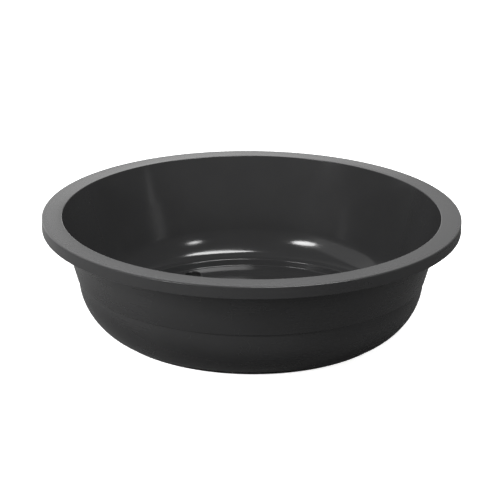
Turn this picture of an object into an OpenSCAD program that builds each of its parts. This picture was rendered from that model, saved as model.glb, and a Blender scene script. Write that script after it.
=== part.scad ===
// A round moulded basin with a flat, down-turned rim, a stacking shoulder and a sunken floor.
// Four rubber plugs sit flush in the drains around the floor's edge and lift straight out.
// Origin: centre of the base. +Z points up, out of the mouth.

/* [Rim] */
// Outer diameter of the rim
rim_d = 356; // [346:1:368]
// Width of the rim's flat top, from the mouth to the outer edge
rim_w = 17; // [14:0.5:22]
// Thickness of the rim and of the skirt that turns down from it
rim_t = 2.5; // [2:0.1:3]
// Height of the skirt, from the rim's top to the skirt's lower edge
skirt_h = 10; // [8:0.5:14]
// Radius of the rounded outer edge along the rim's top
rim_edge_r = 1.2; // [0.6:0.1:1.8]
// Radius of the mouth's inner edge
mouth_edge_r = 0.6; // [0.3:0.1:1]
// Radius of the fillets under the rim, against the wall and the skirt
rim_fillet_r = 1.5; // [0.5:0.1:2.5]
// Radius of the two edges at the bottom of the skirt
skirt_edge_r = 0.5; // [0.2:0.1:0.8]

/* [Wall] */
// Height from the base to the rim's top
pan_h = 97; // [96:0.5:105]
// Thickness of the wall above the shoulder
wall_t = 2.3; // [2:0.1:2.8]
// Taper of the wall, in degrees from the vertical
wall_taper = 15; // [13:0.5:16]
// Depth of the stacking shoulder below the rim's top
shoulder_depth = 52; // [49:0.5:53]
// Inward step of the outside at the shoulder
shoulder_step = 1.5; // [1.3:0.1:1.8]
// Radius of the shoulder's two edges
shoulder_edge_r = 0.6; // [0.2:0.1:0.7]

/* [Corner] */
// Outside radius of the wall's lower, gently bowed part
side_r = 49.4; // [47:0.2:50.4]
// Outside radius of the tighter bend between the wall and the base
bend_r = 18; // [16:0.5:20]
// Angle below the horizontal where the bow turns into the bend, in degrees
bend_start = 49; // [46:1:51]
// Height of the bend's lowest point above the base
bend_lift = 1.7; // [1.5:0.1:2]
// Radius of the same bend on the inside, where it runs in to the riser
inner_bend_r = 13.7; // [13.4:0.1:14]
// Angle below the horizontal where the inside's bow turns into its bend, in degrees
inner_bend_start = 41.5; // [41:0.5:42.5]

/* [Floor] */
// Thickness of the floor over the foot ring, which is the floor's height
floor_h = 2.2; // [2.1:0.1:2.5]
// Radius of the floor's edge, at the bottom of the riser
riser_base_r = 121.6; // [121.2:0.1:121.9]
// Radius of the riser's upper edge, where it meets the corner
riser_top_r = 124; // [123.6:0.1:124.4]
// Radius of the riser's rounded upper edge
riser_edge_r = 1.4; // [0.8:0.1:2.4]
// Radius of the fillet between the riser and the floor
riser_fillet_r = 1.2; // [0.6:0.1:1.8]
// Outer radius of the foot ring
foot_r = 123.5; // [123:0.1:124]
// Radius of the foot ring's rounded outer edge
foot_edge_r = 1.6; // [0.8:0.1:1.8]
// Width of the foot ring
foot_w = 17; // [16:0.5:19]
// Depth of the recess in the underside, inside the foot ring
foot_recess = 0.4; // [0.3:0.1:0.6]
// Diameter of the moulding gate's mark in the middle of the underside
gate_d = 6; // [4:0.5:10]
// Depth of the gate's mark, above the recess
gate_depth = 0.4; // [0.2:0.1:0.6]

/* [Drains and plugs] */
// Radius of the circle of drains
drain_circle_r = 111; // [110.5:0.5:112]
// Direction of the first drain, in degrees
drain_angle = 119; // [0:1:359]
// Radius of the seat that the plug's head drops into
seat_r = 7.3; // [7:0.1:7.3]
// Depth of the seat below the floor
seat_depth = 1.1; // [1:0.1:1.2]
// Chamfer around the seat's mouth
seat_chamfer = 0.4; // [0.2:0.1:0.5]
// Radius of the drain's bore, below the seat
bore_r = 5.2; // [4.5:0.1:5.5]
// Gap all round between the plug's head and its seat
head_gap = 0.3; // [0.3:0.05:0.5]
// Thickness of the plug's head
head_t = 0.9; // [0.8:0.1:1]
// Depth of the dish in the plug's head
dish_depth = 0.4; // [0.2:0.1:0.5]
// Width of the raised lip around the dish
dish_lip = 1.1; // [0.8:0.1:1.5]
// Width of the pull bar across the dish
bar_w = 1.4; // [1:0.1:2]
// Depth that the bar's foot sinks below the dish, to join them
bar_root = 0.1; // [0.05:0.05:0.2]
// Radial clearance of the plug's stem in the bore
stem_fit = 0.05; // [0.02:0.01:0.08]
// Height of the stem's end above the base
stem_lift = 0.3; // [0.2:0.1:0.5]
// Chamfer on the stem's end
stem_chamfer = 0.3; // [0.1:0.1:0.4]

/* [Hidden] */
NODES = ["pan_shell", "drain_plug_1", "drain_plug_2", "drain_plug_3", "drain_plug_4"];
$fn = 160;

// Every node but the shell is a drain's plug
drain_count = len(NODES) - 1;

// Number of straight steps in each of the corner's arcs, and in each rounded edge
arc_steps = 14;
edge_steps = 5;
// Overlap that takes a cut clear of the face it starts from
over = 1;

rim_r = rim_d / 2;
mouth_r = rim_r - rim_w;
rim_under_z = pan_h - rim_t;
skirt_z = pan_h - skirt_h;
skirt_in_r = rim_r - rim_t;

// Outside of the wall: its radius at the rim's top, and just above and below the shoulder
wall_top_r = mouth_r + wall_t / cos(wall_taper);
shoulder_z = pan_h - shoulder_depth;
shoulder_upper_r = wall_top_r - shoulder_depth * tan(wall_taper);
shoulder_lower_r = shoulder_upper_r - shoulder_step;
wall_foot = [shoulder_upper_r, shoulder_z];
wall_head = [wall_top_r - rim_t * tan(wall_taper), rim_under_z];

// Centres of the bend and of the bowed side, whose arcs meet on the line through both
bend_z = bend_lift + bend_r;
side_z = bend_z + (side_r - bend_r) * sin(bend_start);
side_x = shoulder_lower_r - side_r;
bend_x = side_x + (side_r - bend_r) * cos(bend_start);

// On the inside, the wall runs into the bow and the bow into a tighter bend, both without a corner
side_in_r = (mouth_r - side_x) * cos(wall_taper) - (pan_h - side_z) * sin(wall_taper);
inner_bend_x = side_x + (side_in_r - inner_bend_r) * cos(inner_bend_start);
inner_bend_z = side_z - (side_in_r - inner_bend_r) * sin(inner_bend_start);

// Where the foot ring's side meets the bend's outside, and the riser's upper edge its inside
foot_meet = -acos((foot_r - bend_x) / bend_r);
riser_meet = -acos((riser_top_r - inner_bend_x) / inner_bend_r);
// Angle that the bend's inside stops short by, to leave room for the riser's rounded edge
riser_room = riser_edge_r / inner_bend_r * 180 / PI;
riser_top = [riser_top_r, inner_bend_z + inner_bend_r * sin(riser_meet)];
riser_base = [riser_base_r, floor_h];

foot_inner_r = foot_r - foot_w;
seat_z = floor_h - seat_depth;
head_r = seat_r - head_gap;
stem_r = bore_r - stem_fit;

function direction(angle) = [cos(angle), sin(angle)];

function unit(v) = v / norm(v);

// Points along an arc, from its start up to its end but without the end itself
function arc(centre, r, from, to, steps) = [
    for (i = [0:steps - 1]) centre + r * direction(from + (to - from) * i / steps)
];

// Points along the arc that rounds the corner between two neighbouring points
function rounded(before, corner, after, r) =
    let (
        u = unit(before - corner),
        v = unit(after - corner),
        half = acos(u * v) / 2,
        centre = corner + r / sin(half) * unit(u + v),
        start = corner + r / tan(half) * u,
        end = corner + r / tan(half) * v,
        from = atan2(start.y - centre.y, start.x - centre.x),
        to = atan2(end.y - centre.y, end.x - centre.x),
        turn = (to - from + 540) % 360 - 180
    )
    concat(arc(centre, r, from, from + turn, edge_steps), [end]);

// Half of the pan's section, once around: underside, outside, rim, inside and floor
pan_section = concat(
    [[0, foot_recess], [foot_inner_r, foot_recess], [foot_inner_r, 0]],
    rounded([foot_inner_r, 0], [foot_r, 0], [foot_r, bend_z], foot_edge_r),
    arc([bend_x, bend_z], bend_r, foot_meet, -bend_start, arc_steps),
    arc([side_x, side_z], side_r, -bend_start, 0, arc_steps),
    [[shoulder_lower_r, side_z]],
    rounded([shoulder_lower_r, side_z], [shoulder_lower_r, shoulder_z], wall_foot, shoulder_edge_r),
    rounded([shoulder_lower_r, shoulder_z], wall_foot, wall_head, shoulder_edge_r),
    rounded(wall_foot, wall_head, [skirt_in_r, rim_under_z], rim_fillet_r),
    rounded(wall_head, [skirt_in_r, rim_under_z], [skirt_in_r, skirt_z], rim_fillet_r),
    rounded([skirt_in_r, rim_under_z], [skirt_in_r, skirt_z], [rim_r, skirt_z], skirt_edge_r),
    rounded([skirt_in_r, skirt_z], [rim_r, skirt_z], [rim_r, pan_h], skirt_edge_r),
    rounded([rim_r, skirt_z], [rim_r, pan_h], [mouth_r, pan_h], rim_edge_r),
    rounded(
        [rim_r, pan_h], [mouth_r, pan_h],
        [side_x, side_z] + side_in_r * direction(-wall_taper), mouth_edge_r
    ),
    arc([side_x, side_z], side_in_r, -wall_taper, -inner_bend_start, arc_steps),
    arc([inner_bend_x, inner_bend_z], inner_bend_r, -inner_bend_start, riser_meet + riser_room, arc_steps),
    rounded(
        [inner_bend_x, inner_bend_z] + inner_bend_r * direction(riser_meet + riser_room),
        riser_top, riser_base, riser_edge_r
    ),
    rounded(riser_top, riser_base, [0, floor_h], riser_fillet_r),
    [[0, floor_h]]
);

// Moves its children to one of the drains
module at_drain(index) {
    rotate(drain_angle + index * 360 / drain_count)
        translate([drain_circle_r, 0, 0])
            children();
}

// The seat, its chamfer and the bore through the foot ring
module drain() {
    translate([0, 0, seat_z]) cylinder(r = seat_r, h = seat_depth + over);
    translate([0, 0, floor_h - seat_chamfer])
        cylinder(r1 = seat_r, r2 = seat_r + seat_chamfer + over, h = seat_chamfer + over);
    translate([0, 0, -over]) cylinder(r = bore_r, h = seat_z + 2 * over);
}

// The one-piece moulding: rim, skirt, wall, corner, floor and foot ring
module pan_shell() {
    color([0.07, 0.07, 0.07])
        difference() {
            rotate_extrude() polygon(pan_section);
            for (index = [0:drain_count - 1]) at_drain(index) drain();
            translate([0, 0, foot_recess - over]) cylinder(d = gate_d, h = over + gate_depth);
        }
}

// A rubber plug: a dished head with a bar to pull it by, and a stem that seals the bore
module drain_plug(index) {
    dish_r = head_r - dish_lip;
    dish_z = seat_z + head_t - dish_depth;
    // The bar runs into the middle of the lip at both ends
    bar_l = 2 * head_r - dish_lip;
    color([0.03, 0.03, 0.03])
        at_drain(index) {
            difference() {
                union() {
                    translate([0, 0, seat_z]) cylinder(r = head_r, h = head_t);
                    translate([0, 0, stem_lift + stem_chamfer])
                        cylinder(r = stem_r, h = seat_z - stem_lift - stem_chamfer);
                    translate([0, 0, stem_lift])
                        cylinder(r1 = stem_r - stem_chamfer, r2 = stem_r, h = stem_chamfer);
                }
                translate([0, 0, dish_z]) cylinder(r = dish_r, h = dish_depth + over);
            }
            translate([-bar_l / 2, -bar_w / 2, dish_z - bar_root])
                cube([bar_l, bar_w, dish_depth + bar_root]);
        }
}

module drain_plug_1() { drain_plug(0); }
module drain_plug_2() { drain_plug(1); }
module drain_plug_3() { drain_plug(2); }
module drain_plug_4() { drain_plug(3); }

pan_shell();
drain_plug_1();
drain_plug_2();
drain_plug_3();
drain_plug_4();
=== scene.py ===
from math import acos, atan2, cos, degrees, hypot, pi, radians, sin, tan

import bmesh
import bpy
from mathutils import Matrix, Vector
from mathutils.kdtree import KDTree


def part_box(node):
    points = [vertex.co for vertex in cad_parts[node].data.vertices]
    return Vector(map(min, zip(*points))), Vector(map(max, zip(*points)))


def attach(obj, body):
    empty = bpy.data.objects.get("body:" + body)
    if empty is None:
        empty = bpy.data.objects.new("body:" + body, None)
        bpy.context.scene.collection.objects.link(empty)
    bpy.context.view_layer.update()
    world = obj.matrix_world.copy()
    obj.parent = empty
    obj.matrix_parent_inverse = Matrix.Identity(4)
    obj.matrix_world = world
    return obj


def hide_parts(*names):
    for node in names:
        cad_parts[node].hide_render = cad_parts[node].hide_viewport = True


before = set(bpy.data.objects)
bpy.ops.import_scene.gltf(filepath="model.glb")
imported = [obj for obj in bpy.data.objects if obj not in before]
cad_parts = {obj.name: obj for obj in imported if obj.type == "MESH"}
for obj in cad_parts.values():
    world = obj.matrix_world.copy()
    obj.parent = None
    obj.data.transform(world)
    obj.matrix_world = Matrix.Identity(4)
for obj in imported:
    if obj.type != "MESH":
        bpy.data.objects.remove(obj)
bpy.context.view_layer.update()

MM = 0.001

# The pan's section, in metres and degrees. Its outer radius and its height come from the frame.
shell_low, shell_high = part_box("pan_shell")
RIM_R = min(-shell_low.x, shell_high.x, -shell_low.y, shell_high.y)
TOP_Z = shell_high.z
RIM_W = 17 * MM
RIM_T = 2.5 * MM
SKIRT_H = 10 * MM
RIM_EDGE_R = 1.2 * MM
MOUTH_EDGE_R = 0.6 * MM
RIM_FILLET_R = 1.5 * MM
SKIRT_EDGE_R = 0.5 * MM
WALL_T = 2.3 * MM
WALL_TAPER = 15
SHOULDER_DEPTH = 52 * MM
SHOULDER_STEP = 1.5 * MM
SHOULDER_EDGE_R = 0.6 * MM
SIDE_R = 49.4 * MM
BEND_R = 18 * MM
BEND_START = 49
BEND_LIFT = 1.7 * MM
INNER_BEND_R = 13.7 * MM
INNER_BEND_START = 41.5
FLOOR_Z = 2.2 * MM
RISER_BASE_R = 121.6 * MM
RISER_TOP_R = 124 * MM
RISER_EDGE_R = 1.4 * MM
RISER_FILLET_R = 1.2 * MM
FOOT_R = 123.5 * MM
FOOT_EDGE_R = 1.6 * MM
FOOT_W = 17 * MM
FOOT_INNER_FILLET_R = 0.25 * MM
FOOT_INNER_EDGE_R = 0.225 * MM
FOOT_RECESS = 0.4 * MM

# Rings of points that divide the flat underside and the flat floor
UNDERSIDE_RINGS = (20 * MM, 50 * MM, 80 * MM, 100 * MM)
FLOOR_RINGS = (105 * MM, 100 * MM, 80 * MM, 50 * MM, 20 * MM)

# The moulding gate's mark in the underside: a recess, and the broken stub that stands in it
GATE_R = 3 * MM
GATE_DEPTH = 0.4 * MM
GATE_CHAMFER = 0.08 * MM
GATE_FILLET_R = 0.2 * MM
STUB_BASE_R = 1.1 * MM
STUB_NECK_R = 0.8 * MM
STUB_NECK_H = 0.12 * MM
STUB_TIP_R = 0.2 * MM
STUB_HOLLOW = 0.04 * MM

# Drains and plugs. Where they are, and how big a plug is, come from the frame.
PLUGS = sorted(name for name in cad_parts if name.startswith("drain_plug_"))
HEAD_GAP = 0.3 * MM
HEAD_T = 0.9 * MM
BORE_R = 5.2 * MM
STEM_FIT = 0.05 * MM
LIP_W = 1 * MM
LIP_H = 0.6 * MM
LIP_TURN = 86
LIP_REACH = 0.2 * MM
LIP_RISE = 0.02 * MM
DISH_LIP = 1.1 * MM
DISH_DEPTH = 0.4 * MM
DISH_EDGE_R = 0.125 * MM
PLUG_EDGE_R = 0.25 * MM
HEAD_UNDER_R = 0.15 * MM
STEM_FILLET_R = 0.1 * MM
BAR_W = 1.4 * MM
BAR_EDGE_R = 0.35 * MM
BAR_ROOT = 0.1 * MM
BAR_TOP_GAP = 0.01 * MM

# How finely the shapes are divided
SEGMENTS = 256
DRAIN_SEGMENTS = 96
SIDE_STEPS = 40
BEND_STEPS = 28
INNER_SIDE_STEPS = 36
INNER_BEND_STEPS = 32
EDGE_STEPS = 10
SMALL_EDGE_STEPS = 6
DISH_EDGE_STEPS = 5
CREASE_STEPS = 4
LIP_STEPS = 16
BAR_EDGE_STEPS = 5
ROUND_PROFILE = 0.5

# How far a cutter reaches past what it cuts, and how close two points are before they become one
OVER = 1 * MM
MERGE_GAP = 0.003 * MM

# Edges sharper than this, in degrees, stay sharp
PAN_CREASE = 38
PLUG_CREASE = 50

# The finish of each stretch of the section: how satin it is, and how worn
SATIN = {"underside": 1, "foot": 1, "outside": 0.85, "rim": 1, "inside": 0}
WORN = {"underside": 0.25, "foot": 1, "outside": 0.04, "rim": 0.08, "inside": 0}


def direction(angle):
    return Vector((cos(radians(angle)), sin(radians(angle))))


def point(x, z):
    return Vector((x, z))


def arc(centre, radius, start, end, steps):
    """Points along an arc, from its start up to its end but without the end itself."""
    return [centre + radius * direction(start + (end - start) * i / steps) for i in range(steps)]


def rounded(before, corner, after, radius, steps=EDGE_STEPS):
    """Points along the arc that rounds the corner between two neighbouring points."""
    u = (before - corner).normalized()
    v = (after - corner).normalized()
    half = acos(u.dot(v)) / 2
    centre = corner + radius / sin(half) * (u + v).normalized()
    start = corner + radius / tan(half) * u
    end = corner + radius / tan(half) * v
    first = degrees(atan2(start.y - centre.y, start.x - centre.x))
    last = degrees(atan2(end.y - centre.y, end.x - centre.x))
    turn = (last - first + 540) % 360 - 180
    return arc(centre, radius, first, first + turn, steps) + [end]


def flat(z, radii):
    return [point(radius, z) for radius in radii]


def pan_outline():
    """The pan's section in named stretches, from the middle of its underside to the middle of its floor."""
    mouth_r = RIM_R - RIM_W
    skirt_in_r = RIM_R - RIM_T
    under_z = TOP_Z - RIM_T
    skirt_z = TOP_Z - SKIRT_H
    taper = radians(WALL_TAPER)
    wall_top_r = mouth_r + WALL_T / cos(taper)
    wall_head = point(wall_top_r - RIM_T * tan(taper), under_z)

    shoulder_z = TOP_Z - SHOULDER_DEPTH
    upper_r = wall_top_r - SHOULDER_DEPTH * tan(taper)
    lower_r = upper_r - SHOULDER_STEP
    wall_foot = point(upper_r, shoulder_z)
    ledge = point(lower_r, shoulder_z)

    bend_z = BEND_LIFT + BEND_R
    side_z = bend_z + (SIDE_R - BEND_R) * sin(radians(BEND_START))
    side = point(lower_r - SIDE_R, side_z)
    side_top = point(lower_r, side_z)
    bend = point(side.x + (SIDE_R - BEND_R) * cos(radians(BEND_START)), bend_z)
    side_in_r = (mouth_r - side.x) * cos(taper) - (TOP_Z - side_z) * sin(taper)
    inner_bend = side + (side_in_r - INNER_BEND_R) * direction(-INNER_BEND_START)
    inner_wall_foot = side + side_in_r * direction(-WALL_TAPER)

    foot_meet = -degrees(acos((FOOT_R - bend.x) / BEND_R))
    riser_meet = -degrees(acos((RISER_TOP_R - inner_bend.x) / INNER_BEND_R))
    riser_start = riser_meet + degrees(RISER_EDGE_R / INNER_BEND_R)
    ledge_end = inner_bend + INNER_BEND_R * direction(riser_start)
    riser_top = point(RISER_TOP_R, inner_bend.y + INNER_BEND_R * sin(radians(riser_meet)))
    riser_base = point(RISER_BASE_R, FLOOR_Z)
    foot_recess = point(FOOT_R - FOOT_W, FOOT_RECESS)
    foot_inner = point(FOOT_R - FOOT_W, 0)
    foot_outer = point(FOOT_R, 0)

    skirt_root = point(skirt_in_r, under_z)
    skirt_in = point(skirt_in_r, skirt_z)
    skirt_out = point(RIM_R, skirt_z)
    rim_edge = point(RIM_R, TOP_Z)
    mouth = point(mouth_r, TOP_Z)

    underside = flat(FOOT_RECESS, UNDERSIDE_RINGS)
    underside += rounded(point(0, FOOT_RECESS), foot_recess, foot_inner, FOOT_INNER_FILLET_R, CREASE_STEPS)
    foot = rounded(foot_recess, foot_inner, foot_outer, FOOT_INNER_EDGE_R, CREASE_STEPS)
    foot += rounded(foot_inner, foot_outer, point(FOOT_R, bend_z), FOOT_EDGE_R)
    outside = arc(bend, BEND_R, foot_meet, -BEND_START, BEND_STEPS)
    outside += arc(side, SIDE_R, -BEND_START, 0, SIDE_STEPS)
    outside += [side_top]
    outside += rounded(side_top, ledge, wall_foot, SHOULDER_EDGE_R)
    outside += rounded(ledge, wall_foot, wall_head, SHOULDER_EDGE_R)
    outside += rounded(wall_foot, wall_head, skirt_root, RIM_FILLET_R)
    outside += rounded(wall_head, skirt_root, skirt_in, RIM_FILLET_R)
    rim = rounded(skirt_root, skirt_in, skirt_out, SKIRT_EDGE_R, SMALL_EDGE_STEPS)
    rim += rounded(skirt_in, skirt_out, rim_edge, SKIRT_EDGE_R, SMALL_EDGE_STEPS)
    rim += rounded(skirt_out, rim_edge, mouth, RIM_EDGE_R)
    inside = rounded(rim_edge, mouth, inner_wall_foot, MOUTH_EDGE_R)
    inside += arc(side, side_in_r, -WALL_TAPER, -INNER_BEND_START, INNER_SIDE_STEPS)
    inside += arc(inner_bend, INNER_BEND_R, -INNER_BEND_START, riser_start, INNER_BEND_STEPS)
    inside += rounded(ledge_end, riser_top, riser_base, RISER_EDGE_R)
    inside += rounded(riser_top, riser_base, point(0, FLOOR_Z), RISER_FILLET_R)
    inside += flat(FLOOR_Z, FLOOR_RINGS)
    return {"underside": underside, "foot": foot, "outside": outside, "rim": rim, "inside": inside}


def add_object(name, mesh):
    made = bpy.data.objects.new(name, mesh)
    bpy.context.scene.collection.objects.link(made)
    return made


def object_from(name, bm):
    """Turns the working mesh into an object in the scene."""
    mesh = bpy.data.meshes.new(name)
    bm.to_mesh(mesh)
    bm.free()
    return add_object(name, mesh)


def lathe(name, outline, start_z, end_z, segments, centre=(0, 0)):
    """A closed solid turned around an upright axis. Its outline meets the axis at the two heights."""
    bm = bmesh.new()
    rings = []
    for p in outline:
        ring = []
        for i in range(segments):
            turn = 2 * pi * i / segments
            ring.append(bm.verts.new((centre[0] + p.x * cos(turn), centre[1] + p.x * sin(turn), p.y)))
        rings.append(ring)
    first = bm.verts.new((centre[0], centre[1], start_z))
    last = bm.verts.new((centre[0], centre[1], end_z))
    for i in range(segments):
        j = (i + 1) % segments
        bm.faces.new((first, rings[0][j], rings[0][i]))
        bm.faces.new((rings[-1][i], rings[-1][j], last))
        for lower, upper in zip(rings, rings[1:]):
            bm.faces.new((lower[i], lower[j], upper[j], upper[i]))
    bmesh.ops.recalc_face_normals(bm, faces=bm.faces)
    return object_from(name, bm)


def apply_modifiers(piece):
    """Puts the result of the piece's modifiers into its mesh."""
    bpy.context.view_layer.update()
    evaluated = piece.evaluated_get(bpy.context.evaluated_depsgraph_get())
    mesh = bpy.data.meshes.new_from_object(evaluated)
    piece.modifiers.clear()
    old = piece.data
    piece.data = mesh
    bpy.data.meshes.remove(old)
    mesh.name = piece.name


def combine(piece, other, operation):
    """Cuts the other object out of the piece, or joins it to the piece, and removes it."""
    modifier = piece.modifiers.new("combine", "BOOLEAN")
    modifier.operation = operation
    modifier.solver = "EXACT"
    modifier.object = other
    apply_modifiers(piece)
    mesh = other.data
    bpy.data.objects.remove(other)
    bpy.data.meshes.remove(mesh)


def clean(piece):
    """Merges the slivers that a cut leaves where it crosses the piece's own edges."""
    bm = bmesh.new()
    bm.from_mesh(piece.data)
    bmesh.ops.remove_doubles(bm, verts=bm.verts, dist=MERGE_GAP)
    bmesh.ops.dissolve_degenerate(bm, edges=bm.edges, dist=MERGE_GAP)
    bm.to_mesh(piece.data)
    bm.free()


def smooth(piece, crease):
    """Smooth shading that keeps true edges sharp and flat faces flat."""
    piece.data.shade_smooth()
    piece.data.set_sharp_from_angle(angle=radians(crease))
    modifier = piece.modifiers.new("normals", "WEIGHTED_NORMAL")
    modifier.keep_sharp = True
    modifier.weight = 100
    apply_modifiers(piece)


def plug_place(name):
    """The middle of a plug, and the radius of its head."""
    low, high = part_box(name)
    return ((low.x + high.x) / 2, (low.y + high.y) / 2), (high.x - low.x) / 2


def drain_cutter(centre, seat_r, seat_z):
    """The hole of a drain: its bore, its seat and the rounded lip around the seat."""
    outline = [point(BORE_R, -OVER), point(BORE_R, seat_z), point(seat_r, seat_z)]
    for i in range(LIP_STEPS + 1):
        turn = radians(LIP_TURN * i / LIP_STEPS)
        outline += [point(seat_r + LIP_W * (1 - cos(turn)), FLOOR_Z - LIP_H * (1 - sin(turn)))]
    outer_r = seat_r + LIP_W + LIP_REACH
    outline += [point(outer_r, FLOOR_Z + LIP_RISE), point(outer_r, FLOOR_Z + 2 * OVER)]
    return lathe("drain_cutter", outline, -OVER, FLOOR_Z + 2 * OVER, DRAIN_SEGMENTS, centre)


def gate_cutter():
    """The recess around the moulding gate's mark, with the gate's stub left standing in it."""
    top = FOOT_RECESS + GATE_DEPTH
    outline = [point(GATE_R + GATE_DEPTH, FOOT_RECESS - OVER), point(GATE_R + GATE_CHAMFER, FOOT_RECESS)]
    outline += [point(GATE_R, FOOT_RECESS + GATE_CHAMFER)]
    outline += rounded(outline[-1], point(GATE_R, top), point(0, top), GATE_FILLET_R, CREASE_STEPS)
    outline += [point(STUB_BASE_R, top), point(STUB_NECK_R, FOOT_RECESS + STUB_NECK_H)]
    outline += [point(STUB_TIP_R, FOOT_RECESS)]
    return lathe("gate_cutter", outline, FOOT_RECESS - OVER, FOOT_RECESS + STUB_HOLLOW, DRAIN_SEGMENTS)


def make_pan():
    outline = pan_outline()
    points = [p for stretch in outline.values() for p in stretch]
    pan = lathe("pan", points, FOOT_RECESS, FLOOR_Z, SEGMENTS)
    for name in PLUGS:
        centre, head_r = plug_place(name)
        seat_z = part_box(name)[1].z - HEAD_T
        combine(pan, drain_cutter(centre, head_r + HEAD_GAP, seat_z), "DIFFERENCE")
    combine(pan, gate_cutter(), "DIFFERENCE")
    clean(pan)
    smooth(pan, PAN_CREASE)
    paint_regions(pan, outline)
    return pan


def paint_regions(pan, outline):
    """Marks each point of the pan with how satin its finish is there, and how worn."""
    points = [(p, part) for part, stretch in outline.items() for p in stretch]
    samples = []
    for (p, part), (q, _) in zip(points, points[1:]):
        steps = max(1, int((q - p).length / MM))
        samples += [(p.lerp(q, i / steps), part) for i in range(steps)]
    tree = KDTree(len(samples))
    for i, (p, _) in enumerate(samples):
        tree.insert((p.x, p.y, 0), i)
    tree.balance()
    satin_layer = pan.data.attributes.new("satin", "FLOAT", "POINT")
    worn_layer = pan.data.attributes.new("worn", "FLOAT", "POINT")
    for i, vertex in enumerate(pan.data.vertices):
        x, y, z = vertex.co
        part = samples[tree.find((hypot(x, y), z, 0))[1]][1]
        satin_layer.data[i].value = SATIN[part]
        worn_layer.data[i].value = WORN[part]


def make_plug(name):
    """A rubber plug with a dished head, a bar to pull it by, and a stem."""
    low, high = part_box(name)
    centre, head_r = plug_place(name)
    head_z = high.z - HEAD_T
    stem_r = BORE_R - STEM_FIT
    dish_r = head_r - DISH_LIP
    dish_z = high.z - DISH_DEPTH
    stem_end = point(stem_r, low.z)
    stem_root = point(stem_r, head_z)
    head_under = point(head_r, head_z)
    head_edge = point(head_r, high.z)
    dish_edge = point(dish_r, high.z)
    dish_corner = point(dish_r, dish_z)
    outline = rounded(point(0, low.z), stem_end, stem_root, PLUG_EDGE_R, SMALL_EDGE_STEPS)
    outline += rounded(stem_end, stem_root, head_under, STEM_FILLET_R, CREASE_STEPS)
    outline += rounded(stem_root, head_under, head_edge, HEAD_UNDER_R, CREASE_STEPS)
    outline += rounded(head_under, head_edge, dish_edge, PLUG_EDGE_R, SMALL_EDGE_STEPS)
    outline += rounded(head_edge, dish_edge, dish_corner, DISH_EDGE_R, DISH_EDGE_STEPS)
    outline += rounded(dish_edge, dish_corner, point(0, dish_z), DISH_EDGE_R, DISH_EDGE_STEPS)
    plug = lathe(name.replace("drain_", ""), outline, low.z, dish_z, DRAIN_SEGMENTS, centre)
    combine(plug, make_bar(centre, dish_r, dish_z, high.z), "UNION")
    smooth(plug, PLUG_CREASE)
    return plug


def make_bar(centre, dish_r, dish_z, top_z):
    """The pull bar: its upper edges are rounded, and both its ends run into the dish's lip."""
    size = Vector((2 * dish_r + DISH_LIP, BAR_W, top_z - dish_z + BAR_ROOT))
    bm = bmesh.new()
    bmesh.ops.create_cube(bm, size=1)
    bmesh.ops.scale(bm, vec=size, verts=bm.verts)
    top_edges = []
    for edge in bm.edges:
        first, last = (vertex.co for vertex in edge.verts)
        if first.z > 0 and last.z > 0 and abs(first.y - last.y) < MERGE_GAP:
            top_edges.append(edge)
    bmesh.ops.bevel(bm, geom=top_edges, offset=BAR_EDGE_R, segments=BAR_EDGE_STEPS, affect="EDGES",
                    profile=ROUND_PROFILE)
    turned = Matrix.Rotation(atan2(centre[1], centre[0]), 4, "Z")
    place = Matrix.Translation((centre[0], centre[1], top_z - BAR_TOP_GAP - size.z / 2)) @ turned
    bmesh.ops.transform(bm, matrix=place, verts=bm.verts)
    return object_from("bar", bm)


# Materials


def new_material(name):
    material = bpy.data.materials.new(name)
    material.use_nodes = True
    tree = material.node_tree
    tree.nodes.clear()
    output = tree.nodes.new("ShaderNodeOutputMaterial")
    shader = tree.nodes.new("ShaderNodeBsdfPrincipled")
    tree.links.new(shader.outputs["BSDF"], output.inputs["Surface"])
    return material, tree, shader


def feed(tree, node, inputs):
    """Sets a node's inputs. Each is a number, a colour or another node's output."""
    for key, value in inputs.items():
        if isinstance(value, bpy.types.NodeSocket):
            tree.links.new(value, node.inputs[key])
        else:
            node.inputs[key].default_value = value


def add(tree, kind, inputs=None, **settings):
    made = tree.nodes.new("ShaderNode" + kind)
    for key, value in settings.items():
        setattr(made, key, value)
    feed(tree, made, inputs or {})
    return made


def object_coordinates(tree):
    return add(tree, "TexCoord").outputs["Object"]


def multiply(tree, first, second):
    return add(tree, "Math", {0: first, 1: second}, operation="MULTIPLY").outputs[0]


def total(tree, *values):
    """The sum of two or more values."""
    result = values[0]
    for value in values[1:]:
        result = add(tree, "Math", {0: result, 1: value}, operation="ADD").outputs[0]
    return result


def spread(tree, value, start, end, low, high):
    """Maps a value smoothly, from low where it is at the start to high where it is at the end."""
    inputs = {"Value": value, "From Min": start, "From Max": end, "To Min": low, "To Max": high}
    return add(tree, "MapRange", inputs, interpolation_type="SMOOTHSTEP").outputs["Result"]


def noise(tree, vector, scale, detail=4):
    inputs = {"Vector": vector, "Scale": scale, "Detail": detail, "Roughness": 0.55}
    return add(tree, "TexNoise", inputs).outputs["Fac"]


def bump(tree, height, strength, distance, under=None, invert=False):
    """Bumps of the given height on top of the ones under them."""
    inputs = {"Height": height, "Strength": strength, "Distance": distance}
    if under is not None:
        inputs["Normal"] = under
    return add(tree, "Bump", inputs, invert=invert).outputs[0]


def colour(tree, red, green, blue):
    return add(tree, "CombineColor", {"Red": red, "Green": green, "Blue": blue}).outputs[0]


def grey(tree, tone):
    return colour(tree, tone, tone, tone)


def polar(tree, coordinates):
    """The angle around the pan's axis, the radius and the height."""
    x, y, z = add(tree, "SeparateXYZ", {"Vector": coordinates}).outputs
    squares = total(tree, multiply(tree, x, x), multiply(tree, y, y))
    radius = add(tree, "Math", {0: squares}, operation="SQRT").outputs[0]
    angle = add(tree, "Math", {0: y, 1: x}, operation="ARCTAN2").outputs[0]
    return angle, radius, z


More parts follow.
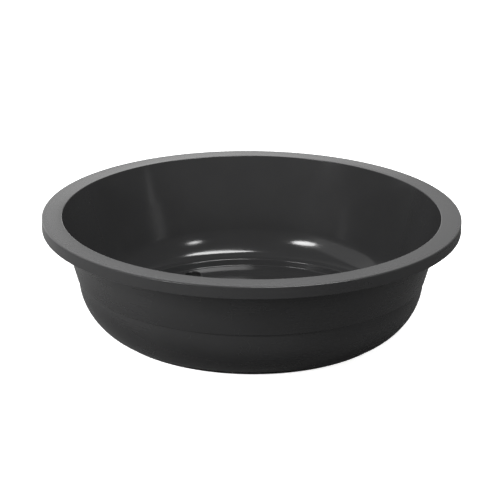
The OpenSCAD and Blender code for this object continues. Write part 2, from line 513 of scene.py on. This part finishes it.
def pan_material():
    """Black moulded plastic: glossy inside, satin outside and on the rim, scuffed where it stands."""
    material, tree, shader = new_material("pan_plastic")
    coordinates = object_coordinates(tree)
    angle, radius, height = polar(tree, coordinates)
    satin = add(tree, "Attribute", attribute_name="satin").outputs["Fac"]
    worn = add(tree, "Attribute", attribute_name="worn").outputs["Fac"]

    cloud = noise(tree, coordinates, scale=14, detail=3)
    grain = noise(tree, coordinates, scale=900, detail=2)
    around = add(tree, "CombineXYZ", {"X": multiply(tree, angle, 0.01), "Y": radius, "Z": height})
    rings = noise(tree, around.outputs[0], scale=260, detail=3)
    cells = add(tree, "TexVoronoi", {"Vector": coordinates, "Scale": 150}, feature="DISTANCE_TO_EDGE")
    scratches = spread(tree, cells.outputs["Distance"], start=0, end=0.03, low=1, high=0)
    patches = noise(tree, coordinates, scale=45)
    scuffs = multiply(tree, scratches, spread(tree, patches, start=0.52, end=0.7, low=0, high=1))
    blotches = noise(tree, coordinates, scale=220, detail=6)
    wear = multiply(tree, worn, spread(tree, blotches, start=0.45, end=0.75, low=0, high=1))

    tone = spread(tree, cloud, start=0.3, end=0.7, low=0.0172, high=0.0195)
    tone = total(tree, tone, multiply(tree, wear, 0.01), multiply(tree, grain, 0.0012))

    gloss = spread(tree, cloud, start=0.3, end=0.7, low=0.11, high=0.15)
    ring_gloss = spread(tree, rings, start=0.35, end=0.65, low=-0.006, high=0.01)
    gloss = total(tree, gloss, multiply(tree, satin, 0.15), multiply(tree, scuffs, 0.05),
                  multiply(tree, wear, 0.2), ring_gloss)

    peel = bump(tree, noise(tree, coordinates, scale=180, detail=1), strength=0.015, distance=0.4 * MM)
    texture = total(tree, grain, multiply(tree, satin, grain))
    fine = bump(tree, texture, strength=0.02, distance=0.1 * MM, under=peel)
    marks = total(tree, scuffs, wear)
    dents = bump(tree, marks, strength=0.03, distance=0.2 * MM, under=fine, invert=True)
    black = colour(tree, tone, tone, multiply(tree, tone, 1.02))
    feed(tree, shader, {"Base Color": black, "Roughness": gloss, "Normal": dents,
                        "Specular IOR Level": 0.3})
    return material


def plug_material():
    """Dull black rubber with a faint pale bloom."""
    material, tree, shader = new_material("plug_rubber")
    coordinates = object_coordinates(tree)
    cloud = noise(tree, coordinates, scale=240)
    grain = noise(tree, coordinates, scale=2600, detail=3)
    bloom = spread(tree, noise(tree, coordinates, scale=600, detail=5), start=0.5, end=0.75, low=0, high=1)
    tone = spread(tree, cloud, start=0.3, end=0.7, low=0.003, high=0.0045)
    tone = total(tree, tone, multiply(tree, bloom, 0.002))
    gloss = spread(tree, grain, start=0.3, end=0.7, low=0.5, high=0.62)
    gloss = total(tree, gloss, multiply(tree, bloom, 0.1))
    pits = bump(tree, grain, strength=0.25, distance=0.08 * MM)
    feed(tree, shader, {"Base Color": grey(tree, tone), "Roughness": gloss, "Normal": pits,
                        "Specular IOR Level": 0.12})
    return material


def floor_material():
    """The pale floor that the camera sees. It glows a little, as a light table does."""
    material, tree, shader = new_material("studio_floor")
    cloud = noise(tree, object_coordinates(tree), scale=3)
    tone = spread(tree, cloud, start=0.3, end=0.7, low=0.78, high=0.8)
    feed(tree, shader, {"Base Color": grey(tree, tone), "Roughness": 0.9, "Specular IOR Level": 0.1,
                        "Emission Color": (1, 1, 1, 1), "Emission Strength": 0.8})
    return material


def bounce_material():
    """The ground that the pan reflects. Its tone is painted light: paler on the left, where the studio is
    lit from.
    """
    material, tree, shader = new_material("studio_bounce")
    across = add(tree, "SeparateXYZ", {"Vector": object_coordinates(tree)}).outputs["X"]
    # Painted light: the tone falls from pale on the left to dark on the right, in place of the studio's
    # light
    tone = spread(tree, across, start=-0.45, end=0.35, low=0.3, high=0.08)
    feed(tree, shader, {"Base Color": grey(tree, tone), "Roughness": 0.9, "Specular IOR Level": 0.1})
    return material


# Studio

GROUND_REACH = 6
GROUND_CELLS = 8
BOUNCE_GAP = 0.5 * MM

# The far side of the bowl's corner, where the lights show as highlights
FAR_CORNER = Vector((0, RISER_TOP_R, 20 * MM))
SOFTBOX_DISTANCE = 1.5
OVERHEAD_HEIGHT = 1.6


def make_ground(name, height, material):
    bm = bmesh.new()
    bmesh.ops.create_grid(bm, x_segments=GROUND_CELLS, y_segments=GROUND_CELLS, size=GROUND_REACH)
    bmesh.ops.translate(bm, vec=(0, 0, height), verts=bm.verts)
    ground = object_from(name, bm)
    ground.data.materials.append(material)
    return ground


def make_grounds():
    """One floor for the camera, and a darker ground just below it for reflections and bounced light."""
    floor = make_ground("studio_floor", 0, floor_material())
    floor.visible_glossy = False
    floor.visible_diffuse = False
    floor.visible_shadow = False
    bounce = make_ground("studio_bounce", -BOUNCE_GAP, bounce_material())
    bounce.visible_camera = False


def area_light(name, place, target, width, height, radiance, turn=0, shape="ELLIPSE"):
    data = bpy.data.lights.new(name, "AREA")
    data.shape = shape
    data.size = width
    data.size_y = height
    data.energy = radiance * pi * width * height
    light = add_object(name, data)
    aim = (target - place).to_track_quat("-Z", "Y").to_matrix().to_4x4()
    light.matrix_world = Matrix.Translation(place) @ aim @ Matrix.Rotation(radians(turn), 4, "Z")
    light.visible_camera = False
    return light


def softbox(name, azimuth, elevation, width, height, radiance, turn=0):
    """A soft panel that faces the far side of the bowl from the given direction."""
    level = cos(radians(elevation)) * direction(azimuth)
    place = FAR_CORNER + SOFTBOX_DISTANCE * Vector((level.x, level.y, sin(radians(elevation))))
    return area_light(name, place, FAR_CORNER, width, height, radiance, turn)


def make_lights():
    softbox("right_softbox", azimuth=-46.2, elevation=33.4, width=0.21, height=0.13, radiance=27)
    softbox("left_softbox", azimuth=-131, elevation=34.8, width=0.4, height=0.22, radiance=30, turn=18)
    place = FAR_CORNER + OVERHEAD_HEIGHT * Vector((0.31, -0.34, 1))
    below = place - Vector((0, 0, 1))
    width = 0.66 * OVERHEAD_HEIGHT
    area_light("overhead_softbox", place, below, width, width / 2, radiance=22, turn=12)
    place = Vector((-0.35, 0.03, 0.3))
    beside = place + Vector((1, 0, 0))
    area_light("left_panel", place, beside, width=0.56, height=0.25, radiance=0.9, turn=5, shape="RECTANGLE")
    softbox("right_strip", azimuth=-22, elevation=9.4, width=0.1, height=0.04, radiance=1.9)
    area_light("backdrop", Vector((-0.47, 1.0, 0.2)), Vector((0, 0, TOP_Z)), width=1.56, height=0.45,
               radiance=1.13, shape="RECTANGLE")
    # The fills light only the plastic's own black. They don't show in its gloss.
    for name, azimuth, radiance in (("left_fill", -140, 14), ("right_fill", -35, 5)):
        fill = softbox(name, azimuth, elevation=20, width=0.8, height=0.5, radiance=radiance)
        fill.visible_glossy = False


def make_world():
    """A room that is bright behind the pan and dark in front of it."""
    world = bpy.data.worlds.new("studio")
    bpy.context.scene.world = world
    world.use_nodes = True
    tree = world.node_tree
    view = add(tree, "TexCoord").outputs["Generated"]
    x, y, _ = add(tree, "SeparateXYZ", {"Vector": view}).outputs
    backward = total(tree, multiply(tree, x, -0.15), multiply(tree, y, 0.98))
    glow = spread(tree, backward, start=0.1, end=0.95, low=0.1, high=0.87)
    feed(tree, tree.nodes["Background"], {"Color": grey(tree, glow), "Strength": 1})


# The photograph's view: a long lens, a little under 19 degrees above the rim's plane. Angles are in
# degrees, the lens and the sensor in millimetres, and the distance is in radii of the rim.
CAMERA_ELEVATION = 18.87
CAMERA_DISTANCE = 8.616
CAMERA_DIP = 1.228
CAMERA_YAW = -0.045
CAMERA_ROLL = 0.437
CAMERA_LENS = 129.6
CAMERA_SENSOR = 36


def make_camera():
    elevation = radians(CAMERA_ELEVATION)
    distance = CAMERA_DISTANCE * RIM_R
    place = Vector((0, -distance * cos(elevation), TOP_Z + distance * sin(elevation)))
    pitch = elevation + radians(CAMERA_DIP)
    yaw = radians(CAMERA_YAW)
    roll = radians(CAMERA_ROLL)
    forward = Vector((sin(yaw) * cos(pitch), cos(yaw) * cos(pitch), -sin(pitch)))
    right = forward.cross(Vector((0, 0, 1))).normalized()
    up = right.cross(forward)
    tilted_right = cos(roll) * right + sin(roll) * up
    tilted_up = -sin(roll) * right + cos(roll) * up
    data = bpy.data.cameras.new("camera")
    data.sensor_width = CAMERA_SENSOR
    data.lens = CAMERA_LENS
    camera = add_object("camera", data)
    turned = Matrix((tilted_right, tilted_up, -forward)).transposed().to_4x4()
    camera.matrix_world = Matrix.Translation(place) @ turned
    bpy.context.scene.camera = camera


make_camera()
make_grounds()
make_lights()
make_world()
bpy.context.scene.view_settings.view_transform = "Standard"

pan = make_pan()
pan.data.materials.append(pan_material())
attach(pan, "pan")
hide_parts("pan_shell")

rubber = plug_material()
for number, name in enumerate(PLUGS, 1):
    plug = make_plug(name)
    plug.data.materials.append(rubber)
    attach(plug, f"plug_{number}")
    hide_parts(name)
